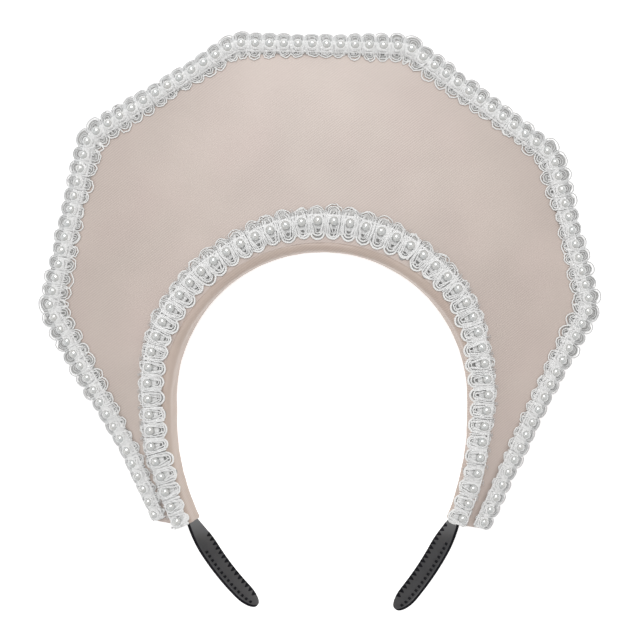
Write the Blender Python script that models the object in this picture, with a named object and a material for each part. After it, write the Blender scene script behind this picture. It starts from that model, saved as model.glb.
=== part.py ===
"""Crown headpiece: a halo of blush satin on a plastic hair band, edged with pearl braid.

The headpiece lies on its back with its face up, as it rests on a table.
Sizes are in millimetres in a flat pattern frame: X runs across the face, Y runs to the
crown's top, and the lift is the height above the satin. on_cone() bends the pattern back
into the real shape, and settle() lays the whole headpiece down on Z = 0.
"""
import bisect
import math

import bmesh
import bpy
from mathutils import Euler, Vector

METRES_PER_MM = 0.001
GAP = 0.3  # clearance between neighbouring pieces

# The panel is bent into a shallow cone, so that its sides sweep back from the middle
CONE_APEX_Y = -175.0
CONE_SWEEP = 0.213
REST_LEAN = 6.8  # degrees that the crown's top dips when the headpiece lies on its back

# Panel
PANEL_THICKNESS = 3.0
RULING_STEP = 3.0  # degrees between the folds that follow the cone
RULINGS = 20  # folds on each side of the middle one

# Line of the outer pearls, from the left end over the top: corner, x, y, rounding
OUTER_CORNERS = (
    ("left end", -73.2, -90.9, 0.0),
    ("left waist", -86.6, -59.4, 60.0),
    ("left wing", -123.0, 5.5, 7.0),
    ("upper left", -103.9, 82.5, 9.0),
    ("top left", -37.6, 122.8, 10.0),
    ("top right", 39.1, 121.4, 10.0),
    ("upper right", 104.2, 74.2, 9.0),
    ("right wing", 122.7, 6.2, 8.0),
    ("right waist", 106.4, -23.8, 60.0),
    ("right end", 72.0, -94.3, 0.0),
)
PEARL_TO_EDGE = 2.2  # from the outer pearls to the panel's edge

# Arch: the inner front edge of the wrapped band, a half circle with a curved leg each side
ARCH_CENTRE = (1.0, -38.3)
ARCH_RADIUS = 68.9
LEG_STRAIGHT = 10.0
LEFT_LEG_RADIUS = 103.0
RIGHT_LEG_RADIUS = 117.0
HALF_BAND = 210.5  # along the arch from the top to a tip
HALF_COVER = 163.0  # along the arch from the top to the end of the sleeve
COVER_FACETS = 37  # an odd number leaves one flat facet at the very top

# Wrapped hair band
COVER_WALL = 0.9
BAND_THICKNESS = 1.4
BAND_WIDTH = 9.8
TIP_WIDTH = 8.8
TIP_ROUND = 9.0  # length of a tip's rounded part
BARE_LEAN = 23.0  # degrees that a bare end's back edge leans in, beyond the cone's own lean
LEAN_RUN = 0.3  # share of a bare end over which the lean grows
LEAN_DEPTH = 4.0  # depth below the satin that stays in line with the sleeve
TEETH = 12
TEETH_START = 10.0  # from the end of the sleeve to the first tooth
TOOTH_PITCH = 2.6
TOOTH_HEIGHT = 1.9
TOOTH_ROWS = (0.04, 0.26, 0.74, 0.96)  # edges of the two rows, as shares of the band's width

# Distance of the inner pearls from the arch: share of the sleeve from its left end, distance
INNER_REACH = (
    (0.00, 4.3),
    (0.06, 5.0),
    (0.12, 7.9),
    (0.27, 11.5),
    (0.38, 11.7),
    (0.50, 13.4),
    (0.58, 12.9),
    (0.66, 11.1),
    (0.80, 5.4),
    (0.90, 2.3),
    (1.00, 0.8),
)
INNER_STEPS = 160

# Pearl braid
OUTER_PEARLS = 96
INNER_PEARLS = 51
PEARL_RADIUS = 2.15
PEARL_SIDES = 10
CORE_HEIGHT = 1.2
END_MARGIN = 3.3  # from the last pearl to the end of the braid
LACE_THICKNESS = 0.8
NOTCH_SHARE = 0.8  # reach of the notch between two lobes, as a share of a lobe's reach
FOLD_START = PEARL_TO_EDGE + 0.35  # from the outer pearls to where the lace turns down
FREE_CREST = 4.9  # length of a lobe past the fold
FREE_NOTCH = 2.8

# Outer lobes: share of the line, reach towards the head, degrees they turn down past the edge
OUTER_LOBES = (
    (0.00, 3.6, 66.0),
    (0.07, 4.4, 50.0),
    (0.15, 7.6, 0.0),
    (0.20, 7.8, 16.0),
    (0.25, 6.4, 32.0),
    (0.30, 8.0, 24.0),
    (0.39, 6.9, 64.0),
    (0.43, 7.5, 52.0),
    (0.50, 5.8, 64.0),
    (0.57, 7.7, 36.0),
    (0.66, 6.0, 40.0),
    (0.71, 8.0, 0.0),
    (0.75, 5.8, 30.0),
    (0.82, 7.2, 0.0),
    (0.89, 5.5, 38.0),
    (1.00, 3.6, 30.0),
)

# Inner lobes: share of the line, reach towards the head, reach away from it
INNER_LOBES = (
    (0.00, 6.0, 3.4),
    (0.08, 7.8, 4.4),
    (0.20, 7.6, 4.8),
    (0.28, 7.4, 7.2),
    (0.40, 7.4, 7.5),
    (0.52, 8.8, 7.5),
    (0.66, 8.0, 6.4),
    (0.82, 8.2, 5.4),
    (0.90, 6.6, 5.0),
    (1.00, 6.2, 3.6),
)

COVER_THICKNESS = BAND_THICKNESS + 2 * (COVER_WALL + GAP)
COVER_WIDTH = BAND_WIDTH + 2 * (COVER_WALL + GAP)
BARE_END = HALF_BAND - HALF_COVER
LACE_TOP = GAP + LACE_THICKNESS
CORE_BASE = LACE_TOP + GAP
CORE_TOP = CORE_BASE + CORE_HEIGHT


class Line:
    """An open line in the pattern, measured by the length along it."""

    def __init__(self, points):
        self.points = [Vector(point) for point in points]
        self.lengths = [0.0]
        for start, end in zip(self.points, self.points[1:]):
            self.lengths.append(self.lengths[-1] + (end - start).length)
        self.length = self.lengths[-1]

    def at(self, distance):
        """Place on the line, or on its straight extension past an end."""
        index = bisect.bisect_right(self.lengths, distance) - 1
        index = min(max(index, 0), len(self.points) - 2)
        start, end = self.points[index], self.points[index + 1]
        share = (distance - self.lengths[index]) / (self.lengths[index + 1] - self.lengths[index])
        return start.lerp(end, share) if 0 <= share <= 1 else start + (end - start) * share

    def frame(self, distance):
        """Place, direction along the line, and direction away from the head."""
        along = (self.at(distance + 1.0) - self.at(distance - 1.0)).normalized()
        return self.at(distance), along, Vector((-along.y, along.x))

    def offset(self, distance, reach):
        """Place at a distance along the line and a reach away from the head."""
        place, _, outward = self.frame(distance)
        return place + outward * reach


def on_cone(place, lift):
    """Real point, in metres, for a place in the pattern and a lift above the satin."""
    x, y = place
    run = y - CONE_APEX_Y
    depth = CONE_SWEEP * x * x / run
    normal = Vector((2 * CONE_SWEEP * x / run, -CONE_SWEEP * (x / run) ** 2, 1.0)).normalized()
    return (Vector((x, y, -depth)) + normal * lift) * METRES_PER_MM


def rounded_line(corners, steps=4):
    """Line through a table of corners, each rounded by a short curve."""
    places = [Vector((x, y)) for _, x, y, _ in corners]
    points = [places[0]]
    for before, corner, after, row in zip(places, places[1:], places[2:], corners[1:]):
        into = (before - corner).normalized()
        out = (after - corner).normalized()
        turn = math.pi - into.angle(out)
        cut = row[3] * math.tan(turn / 2)
        for step in range(steps + 1):
            share = step / steps
            points.append(corner + into * cut * (1 - share) ** 2 + out * cut * share ** 2)
    points.append(places[-1])
    return Line(points)


def arch_place(distance):
    """Place on the arch at a signed distance from its top, negative to the left."""
    side = 1.0 if distance >= 0 else -1.0
    leg_radius = RIGHT_LEG_RADIUS if side > 0 else LEFT_LEG_RADIUS
    run = abs(distance)
    quarter = ARCH_RADIUS * math.pi / 2
    x, y = ARCH_CENTRE
    if run <= quarter:
        angle = run / ARCH_RADIUS
        return (x + side * ARCH_RADIUS * math.sin(angle), y + ARCH_RADIUS * math.cos(angle))
    if run <= quarter + LEG_STRAIGHT:
        return (x + side * ARCH_RADIUS, y - (run - quarter))
    angle = (run - quarter - LEG_STRAIGHT) / leg_radius
    inward = leg_radius * (1 - math.cos(angle))
    return (x + side * (ARCH_RADIUS - inward), y - LEG_STRAIGHT - leg_radius * math.sin(angle))


def arch_line():
    """The whole arch as a finely stepped line, from the left tip to the right tip."""
    steps = round(HALF_BAND)
    return Line([arch_place(HALF_BAND * step / steps) for step in range(-steps, steps + 1)])


def eased(table, share, column=1):
    """Value from a column of a table whose first column is a share, eased between its rows."""
    for row, next_row in zip(table, table[1:]):
        if share <= next_row[0]:
            part = (share - row[0]) / (next_row[0] - row[0])
            return row[column] + (next_row[column] - row[column]) * (1 - math.cos(math.pi * part)) / 2
    return table[-1][column]


def inner_line(arch):
    """Line of the inner pearls, along the sleeve."""
    points = []
    for step in range(INNER_STEPS + 1):
        share = step / INNER_STEPS
        points.append(arch.offset(BARE_END + 2 * HALF_COVER * share, eased(INNER_REACH, share)))
    return Line(points)


def cover_stations():
    """Distances along the arch line where the sleeve and the panel have their corners."""
    first = BARE_END
    return [first + 2 * HALF_COVER * step / COVER_FACETS for step in range(COVER_FACETS + 1)]


def finish(name, mesh, material, parent):
    """Turn a bmesh into a named object with outward faces."""
    bmesh.ops.recalc_face_normals(mesh, faces=mesh.faces)
    data = bpy.data.meshes.new(name)
    mesh.to_mesh(data)
    mesh.free()
    piece = bpy.data.objects.new(name, data)
    bpy.context.scene.collection.objects.link(piece)
    data.materials.append(material)
    data.shade_smooth()
    data.set_sharp_from_angle(angle=math.radians(40))
    piece.parent = parent
    return piece


def bridge(mesh, first, second):
    """Faces between two rows of vertices: quads, or one face if the rows differ."""
    if len(first) != len(second):
        mesh.faces.new(first + second[::-1])
        return
    for a, b, c, d in zip(first, first[1:], second[1:], second):
        mesh.faces.new((a, b, c, d))


def loft(mesh, sections):
    """Closed skin through equal loops of vertices, left open at both ends."""
    for first, second in zip(sections, sections[1:]):
        bridge(mesh, first + first[:1], second + second[:1])


def halo_panel(edge, arch, material, parent):
    """The covered board: the pattern cut on the cone's rulings, then thickened."""
    outline = [edge.at(distance) for distance in edge.lengths]
    for distance in reversed(cover_stations()):
        outline.append(arch.offset(distance, COVER_THICKNESS + GAP))
    mesh = bmesh.new()
    mesh.faces.new([mesh.verts.new((place.x, place.y, 0.0)) for place in outline])
    for step in range(-RULINGS, RULINGS + 1):
        angle = math.radians(step * RULING_STEP)
        bmesh.ops.bisect_plane(
            mesh,
            geom=mesh.verts[:] + mesh.edges[:] + mesh.faces[:],
            dist=0.0001,
            plane_co=(0.0, CONE_APEX_Y, 0.0),
            plane_no=(math.cos(angle), -math.sin(angle), 0.0),
        )
    front = bmesh.ops.extrude_face_region(mesh, geom=mesh.faces[:])["geom"]
    front = {element for element in front if isinstance(element, bmesh.types.BMVert)}
    for vertex in mesh.verts:
        vertex.co = on_cone(vertex.co.xy, 0.0 if vertex in front else -PANEL_THICKNESS)
    return finish("halo_panel", mesh, material, parent)


def band_cover(arch, material, parent):
    """The satin sleeve round the hair band, open at both ends."""
    mesh = bmesh.new()
    loops = []
    for inset in (0.0, COVER_WALL):
        low, high = inset, COVER_THICKNESS - inset
        front, back = -inset, inset - COVER_WIDTH
        corners = ((low, front), (high, front), (high, back), (low, back))
        loops.append([
            [mesh.verts.new(on_cone(arch.offset(distance, reach), lift)) for reach, lift in corners]
            for distance in cover_stations()
        ])
    outer, inner = loops
    loft(mesh, outer)
    loft(mesh, inner)
    for end in (0, -1):
        loft(mesh, [outer[end], inner[end]])
    return finish("band_cover", mesh, material, parent)


def band_width(from_tip):
    """Width of the hair band: full under the sleeve, tapered outside it, round at the tip."""
    width = TIP_WIDTH + (BAND_WIDTH - TIP_WIDTH) * min(1.0, from_tip / BARE_END)
    if from_tip < TIP_ROUND:
        width *= math.sqrt(1 - (1 - from_tip / TIP_ROUND) ** 2)
    return width


def band_lean(from_tip):
    """How far the band leans in towards its back edge, for each millimetre of its width."""
    run = min(1.0, max(0.0, 1 - from_tip / BARE_END) / LEAN_RUN)
    return math.tan(math.radians(BARE_LEAN * math.sin(math.pi / 2 * run)))


def band_stations():
    """Distances from the left tip, each with True where the comb's rows need vertices."""
    end = [(share * TIP_ROUND, False) for share in (0.02, 0.1, 0.25, 0.5, 0.75)]
    first_tooth = BARE_END - TEETH_START
    comb = [first_tooth - TOOTH_PITCH * (half / 2) for half in range(2 * TEETH)]
    end += [(distance, True) for distance in reversed(comb)]
    middle = [(distance, False) for distance in cover_stations()]
    other_end = [(2 * HALF_BAND - distance, rows) for distance, rows in reversed(end)]
    return end + middle + other_end


def hair_band(arch, material, parent):
    """The plastic band, with two rows of comb teeth inside each bare end."""
    mesh = bmesh.new()
    low = COVER_WALL + GAP
    before = None
    steps_in_comb = 0

    def spot(distance, reach, share):
        from_tip = min(distance, 2 * HALF_BAND - distance)
        from_front = band_width(from_tip) * share
        lift = (band_width(from_tip) - COVER_WIDTH) / 2 - from_front
        place = arch.offset(distance, reach + (lift + LEAN_DEPTH) * band_lean(from_tip))
        return mesh.verts.new(on_cone(place, lift))

    for distance, has_rows in band_stations():
        shares = (0.0,) + TOOTH_ROWS + (1.0,) if has_rows else (0.0, 1.0)
        ring = [spot(distance, low + BAND_THICKNESS, share) for share in (0.0, 1.0)]
        ring += [spot(distance, low, share) for share in reversed(shares)]
        if before is None:
            mesh.faces.new(ring)
            before = ring
            continue
        bridge(mesh, before[0:2], ring[0:2])
        bridge(mesh, before[1:3], ring[1:3])
        bridge(mesh, [before[-1], before[0]], [ring[-1], ring[0]])
        in_comb = has_rows and len(before) == len(ring)
        if in_comb and steps_in_comb % 2 == 0:
            for strip in range(len(shares) - 1):
                corners = [before[2 + strip], before[3 + strip], ring[3 + strip], ring[2 + strip]]
                if strip % 2 == 0:
                    mesh.faces.new(corners)
                    continue
                middle = (shares[-1 - strip] + shares[-2 - strip]) / 2
                point = spot(distance - TOOTH_PITCH / 4, low - TOOTH_HEIGHT, middle)
                for first, second in zip(corners, corners[1:] + corners[:1]):
                    mesh.faces.new((first, second, point))
        else:
            bridge(mesh, before[2:], ring[2:])
        steps_in_comb = steps_in_comb + 1 if in_comb else 0
        before = ring
    mesh.faces.new(before)
    return finish("hair_band", mesh, material, parent)


def braid_stations(line, pearls):
    """Distances along a braid, notch and crest in turn, with True at each pearl's crest."""
    pitch = (line.length - 2 * END_MARGIN) / (pearls - 1)
    stations = [(0.0, False)]
    for pearl in range(pearls):
        at_pearl = END_MARGIN + pearl * pitch
        stations.append((at_pearl, True))
        if pearl < pearls - 1:
            stations.append((at_pearl + pitch / 2, False))
    stations.append((line.length, False))
    return stations


def braid_lace(name, line, pearls, lobes, outward_rim, material, parent):
    """The looped tape under the pearls, as a scalloped strip.

    lobes is the table with the reach towards the head.
    outward_rim gives the lower and upper rim points at a share of the line.
    """
    mesh = bmesh.new()
    sections = []
    for distance, crest in braid_stations(line, pearls):
        share = distance / line.length
        inward = eased(lobes, share) * (1.0 if crest else NOTCH_SHARE)
        lower, upper = outward_rim(share, crest)
        corners = [(-inward, GAP)] + lower + upper[::-1] + [(-inward, LACE_TOP)]
        sections.append([
            mesh.verts.new(on_cone(line.offset(distance, offset), lift)) for offset, lift in corners
        ])
    loft(mesh, sections)
    mesh.faces.new(sections[0])
    mesh.faces.new(sections[-1])
    return finish(name, mesh, material, parent)


def folded_rim(share, crest):
    """Rim of the outer lace, which turns down over the panel's edge."""
    fold = math.radians(eased(OUTER_LOBES, share, 2))
    free = FREE_CREST if crest else FREE_NOTCH
    rim = (FOLD_START + free * math.cos(fold), GAP - free * math.sin(fold))
    lower = [(FOLD_START, GAP), rim]
    upper = [
        (FOLD_START + LACE_THICKNESS * math.tan(fold / 2), LACE_TOP),
        (rim[0] + LACE_THICKNESS * math.sin(fold), rim[1] + LACE_THICKNESS * math.cos(fold)),
    ]
    return lower, upper


def flat_rim(share, crest):
    """Rim of the inner lace, which lies flat on the satin."""
    reach = eased(INNER_LOBES, share, 2) * (1.0 if crest else NOTCH_SHARE)
    return [(reach, GAP)], [(reach, LACE_TOP)]


def pearl_string(name, line, pearls, material, parent):
    """Woven core with its pearls, as one body: domes joined by a narrow strip."""
    mesh = bmesh.new()
    half = PEARL_SIDES // 2
    pitch = (line.length - 2 * END_MARGIN) / (pearls - 1)
    steep = math.radians(45)

    def ring(distance, radius, lift):
        place, along, outward = line.frame(distance)
        vertices = []
        for side in range(PEARL_SIDES):
            angle = 2 * math.pi * side / PEARL_SIDES
            spot = place + (outward * math.cos(angle) + along * math.sin(angle)) * radius
            vertices.append(mesh.verts.new(on_cone(spot, lift)))
        return vertices

    def straight_row(distance, lift, count):
        reaches = [PEARL_RADIUS * (1 - 2 * step / (count - 1)) for step in range(count)]
        return [mesh.verts.new(on_cone(line.offset(distance, reach), lift)) for reach in reaches]

    row = straight_row(0.0, CORE_TOP, half + 1)
    base = straight_row(0.0, CORE_BASE, 2)
    mesh.faces.new(row + base[::-1])
    for pearl in range(pearls + 1):
        last = pearl == pearls
        distance = line.length if last else END_MARGIN + pearl * pitch
        next_base = straight_row(distance, CORE_BASE, 2)
        if last:
            near = straight_row(distance, CORE_TOP, half + 1)
            far = near
        else:
            foot = ring(distance, PEARL_RADIUS, CORE_TOP)
            rise = PEARL_RADIUS * math.sin(steep)
            shoulder = ring(distance, PEARL_RADIUS * math.cos(steep), CORE_TOP + rise)
            crown = mesh.verts.new(on_cone(line.at(distance), CORE_TOP + PEARL_RADIUS))
            loft(mesh, [foot, shoulder])
            for first, second in zip(shoulder, shoulder[1:] + shoulder[:1]):
                mesh.faces.new((first, second, crown))
            near = foot[:1] + foot[:half - 1:-1]
            far = foot[:half + 1]
        bridge(mesh, row, near)
        bridge(mesh, base, next_base)
        bridge(mesh, [row[0], base[0]], [near[0], next_base[0]])
        bridge(mesh, [row[-1], base[-1]], [near[-1], next_base[-1]])
        row, base = far, next_base
    mesh.faces.new(row + base[::-1])
    return finish(name, mesh, material, parent)


def settle(pieces, parent):
    """Lean the headpiece, then stand its lowest point on Z = 0, centred in X and Y."""
    parent.rotation_euler = Euler((math.radians(-REST_LEAN), 0.0, 0.0))
    turn = parent.rotation_euler.to_matrix()
    corners = [turn @ vertex.co for piece in pieces for vertex in piece.data.vertices]
    low = [min(corner[axis] for corner in corners) for axis in range(3)]
    high = [max(corner[axis] for corner in corners) for axis in range(3)]
    parent.location = (-(low[0] + high[0]) / 2, -(low[1] + high[1]) / 2, -low[2])


def material(name, colour, roughness, sheen=0.0):
    """A plain dielectric finish."""
    finish_of = bpy.data.materials.new(name)
    finish_of.use_nodes = True
    shader = finish_of.node_tree.nodes["Principled BSDF"]
    shader.inputs["Base Color"].default_value = (*colour, 1.0)
    shader.inputs["Roughness"].default_value = roughness
    shader.inputs["Metallic"].default_value = 0.0
    shader.inputs["Sheen Weight"].default_value = sheen
    return finish_of


def build():
    """Make every piece, hang them on one empty and lay the headpiece down."""
    for old in list(bpy.data.objects):
        bpy.data.objects.remove(old, do_unlink=True)
    parent = bpy.data.objects.new("lying_headpiece", None)
    bpy.context.scene.collection.objects.link(parent)

    satin = material("blush_satin", (0.66, 0.57, 0.52), 0.5, 0.3)
    thread = material("white_thread", (0.85, 0.85, 0.84), 0.75, 0.2)
    pearl = material("grey_pearl", (0.55, 0.56, 0.55), 0.2)
    plastic = material("black_plastic", (0.012, 0.012, 0.014), 0.35)

    outer = rounded_line(OUTER_CORNERS)
    edge = Line([outer.offset(distance, PEARL_TO_EDGE) for distance in outer.lengths])
    arch = arch_line()
    inner = inner_line(arch)

    pieces = [
        halo_panel(edge, arch, satin, parent),
        band_cover(arch, satin, parent),
        hair_band(arch, plastic, parent),
        braid_lace("outer_lace", outer, OUTER_PEARLS, OUTER_LOBES, folded_rim, thread, parent),
        braid_lace("inner_lace", inner, INNER_PEARLS, INNER_LOBES, flat_rim, thread, parent),
        pearl_string("outer_pearls", outer, OUTER_PEARLS, pearl, parent),
        pearl_string("inner_pearls", inner, INNER_PEARLS, pearl, parent),
    ]
    settle(pieces, parent)


build()
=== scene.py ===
"""Looks for a crown headpiece: blush satin, looped pearl braid and a black plastic hair band.

The pieces are drawn in the same flat pattern as the solids: X runs across the face, Y runs
to the crown's top, and the lift is the height above the satin, all in millimetres.
on_cone() bends the pattern, and lie_down() lays it on the floor in metres.
"""

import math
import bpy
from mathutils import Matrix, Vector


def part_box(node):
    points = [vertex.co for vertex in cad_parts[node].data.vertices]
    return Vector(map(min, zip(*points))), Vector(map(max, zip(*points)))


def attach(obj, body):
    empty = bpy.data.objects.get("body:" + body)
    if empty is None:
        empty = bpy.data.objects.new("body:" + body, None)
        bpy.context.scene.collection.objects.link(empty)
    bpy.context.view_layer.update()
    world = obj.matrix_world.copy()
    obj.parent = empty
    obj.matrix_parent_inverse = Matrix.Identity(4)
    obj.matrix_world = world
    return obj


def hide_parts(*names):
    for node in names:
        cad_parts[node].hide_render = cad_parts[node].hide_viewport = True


bl_info = {
    "name": "Crown Headpiece",
    "version": (1, 0, 0),
    "blender": (4, 5, 0),
    "location": "View3D > Sidebar > Headpiece",
    "description": "Dresses a crown headpiece in satin, looped pearl braid and black plastic",
    "category": "Add Mesh",
}

import bpy
import numpy as np
from bpy.props import FloatProperty, FloatVectorProperty, IntProperty, PointerProperty
from mathutils import Euler, Vector

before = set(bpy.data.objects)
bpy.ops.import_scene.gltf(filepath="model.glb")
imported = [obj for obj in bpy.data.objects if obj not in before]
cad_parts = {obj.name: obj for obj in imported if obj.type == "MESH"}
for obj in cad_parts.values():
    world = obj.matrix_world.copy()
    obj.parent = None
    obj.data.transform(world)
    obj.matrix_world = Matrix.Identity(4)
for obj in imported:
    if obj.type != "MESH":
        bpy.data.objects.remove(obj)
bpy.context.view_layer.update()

MM = 0.001
GAP = 0.3  # clearance that the solids keep between neighbours

# The cone that the flat pattern is bent on, and the lean of the lying headpiece
CONE_APEX_Y = -175.0
CONE_SWEEP = 0.213
REST_LEAN = math.radians(6.8)

# Line of the outer pearls, from the left end over the top: x, y, rounding
OUTER_CORNERS = (
    (-73.2, -90.9, 0.0),  # left end
    (-86.6, -59.4, 60.0),  # left waist
    (-123.0, 5.5, 7.0),  # left wing
    (-103.9, 82.5, 9.0),  # upper left
    (-37.6, 122.8, 10.0),  # top left
    (39.1, 121.4, 10.0),  # top right
    (104.2, 74.2, 9.0),  # upper right
    (122.7, 6.2, 8.0),  # right wing
    (106.4, -23.8, 60.0),  # right waist
    (72.0, -94.3, 0.0),  # right end
)
PANEL_THICKNESS = 3.0
PEARL_TO_EDGE = 2.2

# Arch: the inner front edge of the wrapped band
ARCH_CENTRE = (1.0, -38.3)
ARCH_RADIUS = 68.9
LEG_STRAIGHT = 10.0
LEFT_LEG_RADIUS = 103.0
RIGHT_LEG_RADIUS = 117.0
HALF_BAND = 210.5
HALF_COVER = 163.0
BARE_END = HALF_BAND - HALF_COVER
COVER_WALL = 0.9
BAND_THICKNESS = 1.4
BAND_WIDTH = 9.8
TIP_WIDTH = 8.8
TIP_ROUND = 9.0  # length of a tip's rounded part
BARE_LEAN = 23.0  # degrees that a bare end's back edge leans in
LEAN_RUN = 0.3  # share of a bare end over which the lean grows
LEAN_DEPTH = 4.0  # depth below the satin that stays in line with the sleeve
COVER_THICKNESS = BAND_THICKNESS + 2 * (COVER_WALL + GAP)
COVER_WIDTH = BAND_WIDTH + 2 * (COVER_WALL + GAP)

# Distance of the inner pearls from the arch: share of the sleeve from its left end, distance
INNER_REACH = (
    (0.00, 4.3),
    (0.06, 5.0),
    (0.12, 7.9),
    (0.27, 11.5),
    (0.38, 11.7),
    (0.50, 13.4),
    (0.58, 12.9),
    (0.66, 11.1),
    (0.80, 5.4),
    (0.90, 2.3),
    (1.00, 0.8),
)

# Pearl braid
OUTER_PEARLS = 96
INNER_PEARLS = 51
END_MARGIN = 3.3
FIRST_CROSSING = 1.6  # from the braid's left end to its first crossing threads
LAST_CROSSING = 1.0  # from its last crossing threads to its right end
PEARL_LIFT = 2.6  # height of a pearl's middle above the satin
FOLD_START = PEARL_TO_EDGE + 0.35
FOLD_SHARE = 0.86  # share of a lobe's angle that its threads turn down
FREE_CREST = 4.9
FOLD_ROUNDING = 1.3  # radius that the lace bends round at the panel's edge

# Outer lobes: share of the line, reach towards the head, degrees they turn down past the edge
OUTER_LOBES = (
    (0.00, 4.8, 66.0),
    (0.07, 5.8, 50.0),
    (0.15, 7.6, 0.0),
    (0.20, 7.8, 16.0),
    (0.25, 6.4, 32.0),
    (0.30, 8.0, 24.0),
    (0.39, 6.9, 64.0),
    (0.43, 7.5, 52.0),
    (0.50, 5.8, 64.0),
    (0.57, 7.7, 36.0),
    (0.66, 6.0, 40.0),
    (0.71, 8.0, 0.0),
    (0.75, 5.8, 30.0),
    (0.82, 7.2, 0.0),
    (0.89, 5.5, 38.0),
    (1.00, 3.6, 30.0),
)

# Inner lobes: share of the line, reach towards the head, reach away from it
INNER_LOBES = (
    (0.00, 5.0, 4.4),
    (0.08, 7.8, 5.6),
    (0.20, 7.6, 5.4),
    (0.28, 7.4, 7.2),
    (0.40, 7.4, 7.5),
    (0.52, 8.8, 7.5),
    (0.66, 8.0, 6.4),
    (0.82, 8.2, 5.4),
    (0.90, 6.6, 5.0),
    (1.00, 6.2, 3.6),
)

# Comb inside each bare end, left then right: whether it is mirrored, then for the saw teeth
# and for the pegs the distance from the sleeve to the first, and how many
COMB = (
    (False, 9.0, 15, 15.0, 14),
    (True, 3.4, 17, 10.5, 16),
)
TOOTH_PROFILE = ((1.0, 0.0), (0.95, 0.4), (0.7, 0.8), (0.3, 1.0), (0.05, 1.0))  # width, height
SAW_HALF_WIDTH = 1.25
SAW_HALF_DEPTH = 1.3
SAW_INSET = 1.5  # from the band's back edge to the middle of a saw tooth
SAW_HEIGHT = 0.4
PEG_HALF_WIDTH = 0.6
PEG_HEIGHT = 0.6
PEG_PLACE = 0.2  # share of the band's width from its front edge to a peg's middle

# Thread loops of a lobe, from its rim inwards: half width and reach as shares, thread radius, lift
HANGING_LOOPS = (
    (0.47, 1.00, 0.34, 0.42),
    (0.38, 0.85, 0.26, 0.48),
    (0.29, 0.70, 0.24, 0.52),
    (0.19, 0.55, 0.22, 0.55),
)
SATIN_LOOPS = (
    (0.47, 1.00, 0.34, 0.50),
    (0.32, 0.74, 0.26, 0.60),
    (0.17, 0.52, 0.20, 0.60),
)
ARCH_LOOPS = (
    (0.48, 1.00, 0.48, 0.60),
    (0.35, 0.79, 0.40, 0.70),
    (0.19, 0.58, 0.28, 0.75),
)
CROWN_LOOPS = (
    (0.47, 1.00, 0.28, 0.45),
    (0.40, 0.90, 0.26, 0.55),
    (0.36, 0.80, 0.20, 0.60),
)
LOOP_ROUND = 0.62  # share of a loop's length that is its round tip
LOOP_TURN = math.radians(102)  # how far the round tip turns to each side

# Pearls, drawn with the thread hole along the string
PEARL_SIDES = 24
PEARL_RINGS = 15
HOLE_ANGLE = 9  # degrees from a pearl's axis to the rim of its hole
HOLE_DEPTH = 0.12  # as a share of the radius
HOLE_FLOOR = 0.1  # radius of the hole's floor, as a share of the radius

SQUARE = ((-1, -1), (1, -1), (1, 1), (-1, 1))
FLOOR_HALF = 4.0  # half the floor's width, in metres
# Painted shade on each pearl's body, darker towards its rim
PEARL_RIM_PAINTED_SHADE = ((0.0, 0.96), (0.35, 0.94), (0.85, 0.58))  # from a pearl's middle to its rim
# Painted shade in the grooves between the satin's ribs
RIB_PAINTED_SHADE = 0.075  # half of the darkening between two ribs of the satin


class Line:
    """An open line in the pattern, measured by the length along it."""

    def __init__(self, points):
        self.points = np.array(points, float)
        steps = np.linalg.norm(np.diff(self.points, axis=0), axis=1)
        self.lengths = np.concatenate(([0.0], np.cumsum(steps)))
        self.length = self.lengths[-1]
        self.first = (self.points[1] - self.points[0]) / steps[0]
        self.last = (self.points[-1] - self.points[-2]) / steps[-1]

    def at(self, distance):
        """Places on the line, or on its straight extension past an end."""
        distance = np.asarray(distance, float)
        inside = np.clip(distance, 0.0, self.length)
        place = np.stack([np.interp(inside, self.lengths, column) for column in self.points.T], -1)
        before = np.minimum(distance, 0.0)[..., None] * self.first
        return place + before + np.maximum(distance - self.length, 0.0)[..., None] * self.last

    def offset(self, distance, reach):
        """Places at a distance along the line and a reach away from the head."""
        distance = np.asarray(distance, float)
        along = self.at(distance + 1.0) - self.at(distance - 1.0)
        along /= np.linalg.norm(along, axis=-1, keepdims=True)
        outward = np.stack([-along[..., 1], along[..., 0]], -1)
        return self.at(distance) + outward * np.asarray(reach, float)[..., None]


def on_cone(place, lift):
    """Points, in millimetres, for places in the pattern and lifts above the satin."""
    x, y = place[..., 0], place[..., 1]
    run = y - CONE_APEX_Y
    normal = np.stack([2 * CONE_SWEEP * x / run, -CONE_SWEEP * (x / run) ** 2, np.ones_like(x)], -1)
    normal /= np.linalg.norm(normal, axis=-1, keepdims=True)
    surface = np.stack([x, y, -CONE_SWEEP * x * x / run], -1)
    return surface + normal * np.asarray(lift, float)[..., None]


def leaned(points):
    """Points turned back by the lean of the lying headpiece."""
    turn = np.array(Euler((-REST_LEAN, 0.0, 0.0)).to_matrix())
    return points @ turn.T


def eased(table, share, column=1):
    """Values from a column of a table whose first column is a share, eased between its rows."""
    shares = np.array([row[0] for row in table])
    values = np.array([row[column] for row in table])
    share = np.clip(share, 0.0, 1.0)
    row = np.clip(np.searchsorted(shares, share, side="left") - 1, 0, len(table) - 2)
    part = (share - shares[row]) / (shares[row + 1] - shares[row])
    return values[row] + (values[row + 1] - values[row]) * (1 - np.cos(np.pi * part)) / 2


def rounded_line(corners, steps):
    """Line through a table of corners, each rounded by a short curve."""
    places = [np.array(row[:2]) for row in corners]
    points = [places[0]]
    for before, corner, after, row in zip(places, places[1:], places[2:], corners[1:]):
        into = (before - corner) / np.linalg.norm(before - corner)
        out = (after - corner) / np.linalg.norm(after - corner)
        cut = row[2] * math.tan((math.pi - math.acos(np.clip(into @ out, -1, 1))) / 2)
        for share in np.linspace(0.0, 1.0, steps + 1):
            points.append(corner + into * cut * (1 - share) ** 2 + out * cut * share ** 2)
    points.append(places[-1])
    return Line(points)


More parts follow.
